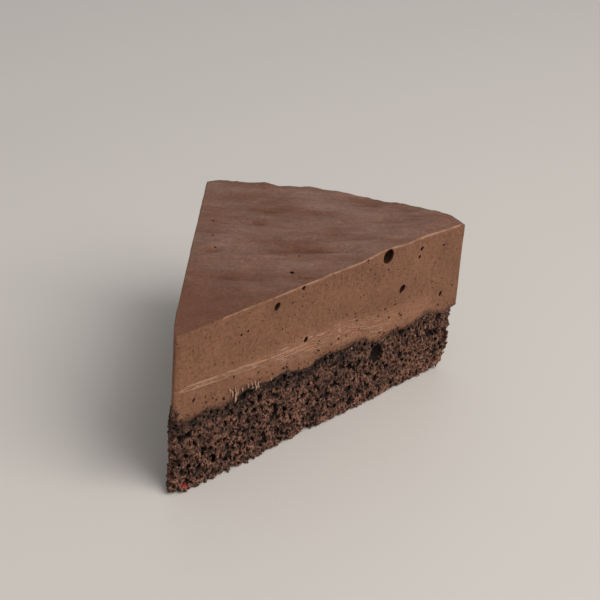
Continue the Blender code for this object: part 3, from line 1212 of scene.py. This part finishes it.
class CAKE_SLICE_OT_add_sponge(bpy.types.Operator):
    """Adds the sponge base with its open crumb"""

    bl_idname = "cake_slice.add_sponge"
    bl_label = "Add sponge"

    def execute(self, context):
        settings = context.scene.cake_slice.sponge
        piece = piece_from(bmesh.new(), "sponge")
        nodes = piece.modifiers.new("crumb", "NODES")
        nodes.node_group = sponge_nodes(settings.voxel)
        settle(piece)
        keep_largest(piece)
        thin_out(piece, SPONGE_FACES)
        finish_piece(piece, sponge_material(settings))
        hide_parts("sponge_base")
        return {"FINISHED"}


# ---- Crumbs, shreds and the fleck ----

# Shreds of mousse along the line between the layers: distance from the tip, height, length and lean.
SHREDS = (
    (20.9, 21.2, 4.8, 0.06),
    (21.6, 21.0, 3.6, -0.16),
    (20.0, 21.6, 2.4, 0.30),
    (19.2, 22.6, 1.6, 0.45),
    (26.4, 21.6, 2.4, 0.12),
    (27.4, 21.4, 2.8, -0.05),
    (28.5, 21.3, 2.0, -0.22),
    (25.2, 21.9, 1.3, 0.25),
    (23.4, 21.4, 1.0, 0.20),
    (33.0, 20.8, 0.9, 0.20),
    (46.5, 20.6, 0.9, 0.30),
    (62.0, 19.6, 0.8, 0.20),
)
SHRED_RADIUS = 0.00019
FLECK_FROM_TIP, FLECK_HEIGHT, FLECK_RADIUS = 0.0041, 0.0014, 0.00070
# Rays come from this far outside the slice. One that goes further than CRUMBS_REACH lands in a hole, where
# no crumb stays.
RAYS_START, RAYS_END = 0.004, 0.010
CRUMBS_REACH = 0.0050
# How the crumbs are shared between the shown cut, the other cut, the rim and the tip.
SHARES_ON_SPONGE = (50, 24, 22, 4)
SHARES_ON_MOUSSE = (30, 20, 20, 30)


def surface_of(name):
    """What rays can be cast at: the surface of a finished piece."""
    mesh = bpy.data.objects[name].data
    corners = [corner.co - TIP for corner in mesh.vertices]
    return BVHTree.FromPolygons(corners, [tuple(face.vertices) for face in mesh.polygons])


def random_side(chances, weights):
    """A random place round the slice, seen from above, and the direction out of the slice there."""
    side = chances.choices(("shown", "other", "rim", "tip"), weights=weights)[0]
    if side == "rim":
        angle = chances.uniform(-1.0, 1.0) * HALF_ANGLE
        out = Vector((math.cos(angle), math.sin(angle)))
        return out * distance_to_rim(angle, 0.0), out
    if side == "tip":
        angle = chances.uniform(-1.0, 1.0) * (math.pi / 2.0 - HALF_ANGLE)
        return Vector((SPONGE_TIP_BLUNTNESS, 0.0)), -Vector((math.cos(angle), math.sin(angle)))
    cut, out = (SHOWN_CUT, SHOWN_CUT_OUT) if side == "shown" else (OTHER_CUT, OTHER_CUT_OUT)
    return cut * chances.uniform(0.001, CUT_LENGTH), out


def land_on(surface, flat, out, height):
    """Where something that comes from outside the slice lands on this surface, and the way it faces."""
    start = Vector((flat.x + out.x * RAYS_START, flat.y + out.y * RAYS_START, height))
    place, normal, _, reach = surface.ray_cast(start, Vector((-out.x, -out.y, 0.0)), RAYS_END)
    return place, normal, reach


def ball(divisions):
    """The corners and the faces of a ball with a radius of 1."""
    shape = bmesh.new()
    bmesh.ops.create_icosphere(shape, subdivisions=divisions, radius=1.0)
    corners = np.array([corner.co for corner in shape.verts])
    faces = np.array([[corner.index for corner in face.verts] for face in shape.faces])
    shape.free()
    return corners, faces


def crumb_corners(corners, place, radius, chances):
    """One crumb: the corners of a ball, bent out of shape and put in place above the floor."""
    stretch = np.array([chances.uniform(0.65, 1.3) for _ in range(3)])
    bend = np.array([[chances.uniform(0.75, 1.2)] for _ in corners])
    moved = corners * bend * stretch * radius + np.array(place)
    moved[:, 2] = np.maximum(moved[:, 2], 0.00002)
    return moved


def crumb_material(settings):
    """Loose crumbs: matt, from nearly black to a light brown."""
    material, tree, shader = new_material("loose crumbs")
    place = object_place(tree)
    tone = attribute(tree, "tone")
    grain = cloud(tree, place, 0.0003, 3.0, 0.7)
    share = tone.math("POWER", 2.2) * 0.85 + (grain - 0.5) * 0.9
    colour = mixed(tree, share.ramp(0.0, 1.0), settings.crumb_colour, settings.grain_and_highlight_colour)
    colour = brighter(tree, colour, (0.45 + grain * 1.0) * sponge_tone(tree, place))
    tree.links.new(colour, shader.inputs["Base Color"])
    shader.inputs["Roughness"].default_value = 0.9
    bump(tree, shader, grain * 0.00010)
    shader.inputs["Specular IOR Level"].default_value = 0.35
    return material


class CAKE_SLICE_OT_add_crumbs(bpy.types.Operator):
    """Adds the loose crumbs on the sponge and on the mousse"""

    bl_idname = "cake_slice.add_crumbs"
    bl_label = "Add crumbs"

    def execute(self, context):
        settings = context.scene.cake_slice.crumbs
        chances = random.Random(29)
        sponge = surface_of("sponge")
        mousse = surface_of("mousse")
        fleck = fleck_place(sponge)
        corners, faces = ball(1)
        crumbs = []
        for number in range(settings.crumbs + settings.stray_crumbs):
            on_sponge = number < settings.crumbs
            flat, out = random_side(chances, SHARES_ON_SPONGE if on_sponge else SHARES_ON_MOUSSE)
            radius = settings.smallest + (settings.largest - settings.smallest) * chances.random() ** 2.5
            line = float(middle_height(flat.x, flat.y))
            if on_sponge:
                height = chances.uniform(0.0002, line + 0.0001)
                place, normal, reach = land_on(sponge, flat, out, height)
                sunk = chances.uniform(-0.4, 0.5)
            else:
                height = line + min(0.007, chances.expovariate(700.0))
                place, normal, reach = land_on(mousse, flat, out, height)
                sunk = chances.uniform(0.2, 0.7)
            if place is not None and reach < CRUMBS_REACH and (place - fleck).length > 2.2 * FLECK_RADIUS:
                crumbs.append(crumb_corners(corners, place + normal * (radius * sunk), radius, chances))
        mesh = bpy.data.meshes.new("loose_crumbs")
        all_faces = np.concatenate([faces + number * len(corners) for number in range(len(crumbs))])
        mesh.from_pydata(np.concatenate(crumbs).tolist(), [], all_faces.tolist())
        tones = np.repeat([chances.random() for _ in crumbs], len(corners))
        store(mesh, "tone", tones)
        piece = bpy.data.objects.new("loose_crumbs", mesh)
        context.scene.collection.objects.link(piece)
        finish_piece(piece, crumb_material(context.scene.cake_slice.sponge), smooth=False)
        return {"FINISHED"}


def add_shred(shape, surfaces, distance, height, length, lean, chances):
    """Adds one thin curved shred of mousse, thick in the middle, that hangs on the cut."""
    rings = 9
    sides = 7
    loops = []
    for ring in range(rings + 1):
        share = ring / rings
        down = (share - 0.4) * length * MM
        curl = math.sin(share * math.pi * 1.3) * length * MM * 0.09
        flat = SHOWN_CUT * (distance * MM + down * lean + curl)
        hits = [land_on(surface, flat, SHOWN_CUT_OUT, height * MM - down) for surface in surfaces]
        reach = min([hit[2] for hit in hits if hit[0] is not None] + [RAYS_START])
        out = SHOWN_CUT_OUT * (RAYS_START - reach + SHRED_RADIUS * 0.6)
        place = Vector((flat.x + out.x, flat.y + out.y, height * MM - down))
        thick = SHRED_RADIUS * (0.25 + math.sin(math.pi * share) ** 0.7) * chances.uniform(0.8, 1.2)
        loop = []
        for side in range(sides):
            turn = 2.0 * math.pi * side / sides
            aside = SHOWN_CUT * (math.cos(turn) * thick) + SHOWN_CUT_OUT * (math.sin(turn) * thick * 0.7)
            loop.append(shape.verts.new(place + Vector((aside.x, aside.y, 0.0))))
        loops.append(loop)
    for first, second in zip(loops, loops[1:]):
        for side in range(sides):
            after = (side + 1) % sides
            shape.faces.new((first[side], first[after], second[after], second[side]))
    shape.faces.new(loops[0])
    shape.faces.new(reversed(loops[-1]))


def shred_material(settings):
    """Mousse that was scraped up: lighter than the cut."""
    material, tree, shader = new_material("mousse shreds")
    place = object_place(tree)
    mottle = cloud(tree, place, 0.0006, 3.0, 0.6)
    colour = mixed(tree, mottle.ramp(0.30, 0.55), settings.cut_colour, settings.scratch_colour)
    tree.links.new(colour, shader.inputs["Base Color"])
    shader.inputs["Roughness"].default_value = 0.6
    bump(tree, shader, mottle * 0.00010)
    return material


class CAKE_SLICE_OT_add_shreds(bpy.types.Operator):
    """Adds the shreds of mousse that the knife dragged over the line between the layers"""

    bl_idname = "cake_slice.add_shreds"
    bl_label = "Add shreds"

    def execute(self, context):
        chances = random.Random(5)
        surfaces = (surface_of("sponge"), surface_of("mousse"))
        shape = bmesh.new()
        for distance, height, length, lean in SHREDS:
            add_shred(shape, surfaces, distance, height, length, lean, chances)
        bmesh.ops.recalc_face_normals(shape, faces=shape.faces)
        piece = piece_from(shape, "mousse_shreds")
        finish_piece(piece, shred_material(context.scene.cake_slice.mousse))
        return {"FINISHED"}


def fleck_place(surface):
    """Where the fleck sticks to the sponge."""
    place, _, _ = land_on(surface, SHOWN_CUT * FLECK_FROM_TIP, SHOWN_CUT_OUT, FLECK_HEIGHT)
    if place is None:
        raise RuntimeError("the fleck missed the sponge")
    return place + Vector((SHOWN_CUT_OUT.x, SHOWN_CUT_OUT.y, 0.0)) * (FLECK_RADIUS * 0.8)


def fleck_material(settings):
    """A wet red scrap of fruit."""
    material, tree, shader = new_material("fruit fleck")
    mottle = cloud(tree, object_place(tree), 0.0005, 2.0, 0.6)
    dark = [part * 0.25 for part in settings.fleck_colour]
    colour = mixed(tree, mottle.ramp(0.40, 0.62), dark, settings.fleck_colour)
    tree.links.new(colour, shader.inputs["Base Color"])
    shader.inputs["Roughness"].default_value = 0.25
    bump(tree, shader, mottle * 0.00012)
    return material


class CAKE_SLICE_OT_add_fleck(bpy.types.Operator):
    """Adds the fleck of fruit at the foot of the tip"""

    bl_idname = "cake_slice.add_fleck"
    bl_label = "Add fleck"

    def execute(self, context):
        place = fleck_place(surface_of("sponge"))
        shape = bmesh.new()
        made = bmesh.ops.create_icosphere(shape, subdivisions=3, radius=1.0)["verts"]
        for corner in made:
            swell = 1.0 + 0.5 * noise.noise(corner.co * 1.3 + Vector((4.0, 1.0, 7.0)))
            offset = corner.co * swell * FLECK_RADIUS
            corner.co = place + Vector((offset.x * 1.5, offset.y, offset.z * 1.1))
            corner.co.z = max(corner.co.z, 0.00005)
        piece = piece_from(shape, "fruit_fleck")
        finish_piece(piece, fleck_material(context.scene.cake_slice.crumbs))
        return {"FINISHED"}


# ---- The stage ----

AIM = Vector((0.0206, -0.0009, 0.0216))
LENS, SENSOR_WIDTH = 85.0, 36.0
FLOOR_RADIUS = 2.5
WORLD_GREY, WORLD_STRENGTH = 0.94, 0.31
# Lights: name, azimuth and elevation in degrees, distance, size, power and colour.
LIGHTS = (
    ("key", -8.0, 48.0, 1.1, 0.9, 10.5, (1.0, 0.975, 0.94)),
    ("back", 115.0, 32.0, 1.4, 1.1, 0.9, (1.0, 0.98, 0.95)),
)


def direction_from(azimuth, elevation):
    """The direction of what stands at this azimuth and elevation, seen from the slice."""
    return Vector(
        (
            math.sin(azimuth) * math.cos(elevation),
            -math.cos(azimuth) * math.cos(elevation),
            math.sin(elevation),
        )
    )


def add_light(name, azimuth, elevation, distance, size, power, colour):
    """A square soft light that looks at the slice."""
    data = bpy.data.lights.new(name, "AREA")
    data.shape = "SQUARE"
    data.size = size
    data.energy = power
    data.color = colour
    light = bpy.data.objects.new(name, data)
    toward = direction_from(math.radians(azimuth), math.radians(elevation))
    light.location = toward * distance
    light.rotation_euler = toward.to_track_quat("Z", "Y").to_euler()
    bpy.context.scene.collection.objects.link(light)


def add_floor(colour):
    """A wide round pale floor."""
    shape = bmesh.new()
    bmesh.ops.create_circle(shape, cap_ends=True, segments=96, radius=FLOOR_RADIUS)
    floor = piece_from(shape, "floor")
    material, tree, shader = new_material("pale floor")
    mottle = cloud(tree, object_place(tree), 0.05, 2.0)
    shade = brighter(tree, tuple(colour), 0.99 + mottle * 0.02)
    tree.links.new(shade, shader.inputs["Base Color"])
    shader.inputs["Roughness"].default_value = 0.5
    floor.data.materials.append(material)


class CAKE_SLICE_OT_add_stage(bpy.types.Operator):
    """Adds the floor, the lights and the camera"""

    bl_idname = "cake_slice.add_stage"
    bl_label = "Add stage"

    def execute(self, context):
        settings = context.scene.cake_slice.stage
        add_floor(settings.floor_colour)
        for light in LIGHTS:
            add_light(*light)
        world = bpy.data.worlds.new("studio")
        world.use_nodes = True
        background = world.node_tree.nodes["Background"]
        background.inputs["Color"].default_value = (WORLD_GREY, WORLD_GREY, WORLD_GREY, 1.0)
        background.inputs["Strength"].default_value = WORLD_STRENGTH
        context.scene.world = world
        context.scene.view_settings.view_transform = "Standard"
        data = bpy.data.cameras.new("camera")
        data.lens = LENS
        data.sensor_width = SENSOR_WIDTH
        data.clip_start = 0.01
        data.clip_end = 10.0
        camera = bpy.data.objects.new("camera", data)
        toward = direction_from(settings.azimuth, settings.elevation)
        level = toward.to_track_quat("Z", "Y").to_matrix()
        camera.rotation_euler = (level @ Matrix.Rotation(settings.roll, 3, "Z")).to_euler()
        camera.location = AIM + toward * settings.distance
        context.scene.collection.objects.link(camera)
        context.scene.camera = camera
        return {"FINISHED"}


class CAKE_SLICE_PT_panel(bpy.types.Panel):
    """Lists the slice's pieces and what can be set for them"""

    bl_idname = "CAKE_SLICE_PT_panel"
    bl_label = "Cake slice"
    bl_space_type = "VIEW_3D"
    bl_region_type = "UI"
    bl_category = "Cake slice"

    def draw(self, context):
        settings = context.scene.cake_slice
        layout = self.layout
        for operator in OPERATORS:
            layout.operator(operator.bl_idname)
        for group in (settings.mousse, settings.sponge, settings.crumbs, settings.stage):
            box = layout.box()
            for name in type(group).__annotations__:
                box.prop(group, name)


OPERATORS = (
    CAKE_SLICE_OT_add_stage,
    CAKE_SLICE_OT_add_mousse,
    CAKE_SLICE_OT_add_sponge,
    CAKE_SLICE_OT_add_crumbs,
    CAKE_SLICE_OT_add_shreds,
    CAKE_SLICE_OT_add_fleck,
)
CLASSES = (
    MousseSettings,
    SpongeSettings,
    CrumbSettings,
    StageSettings,
    SliceSettings,
    *OPERATORS,
    CAKE_SLICE_PT_panel,
)


def register():
    for cls in CLASSES:
        bpy.utils.register_class(cls)
    bpy.types.Scene.cake_slice = PointerProperty(type=SliceSettings)


def unregister():
    del bpy.types.Scene.cake_slice
    for cls in reversed(CLASSES):
        bpy.utils.unregister_class(cls)


def main():
    register()
    bpy.ops.cake_slice.add_stage()
    bpy.ops.cake_slice.add_mousse()
    bpy.ops.cake_slice.add_sponge()
    bpy.ops.cake_slice.add_crumbs()
    bpy.ops.cake_slice.add_shreds()
    bpy.ops.cake_slice.add_fleck()


if __name__ == "__main__":
    main()
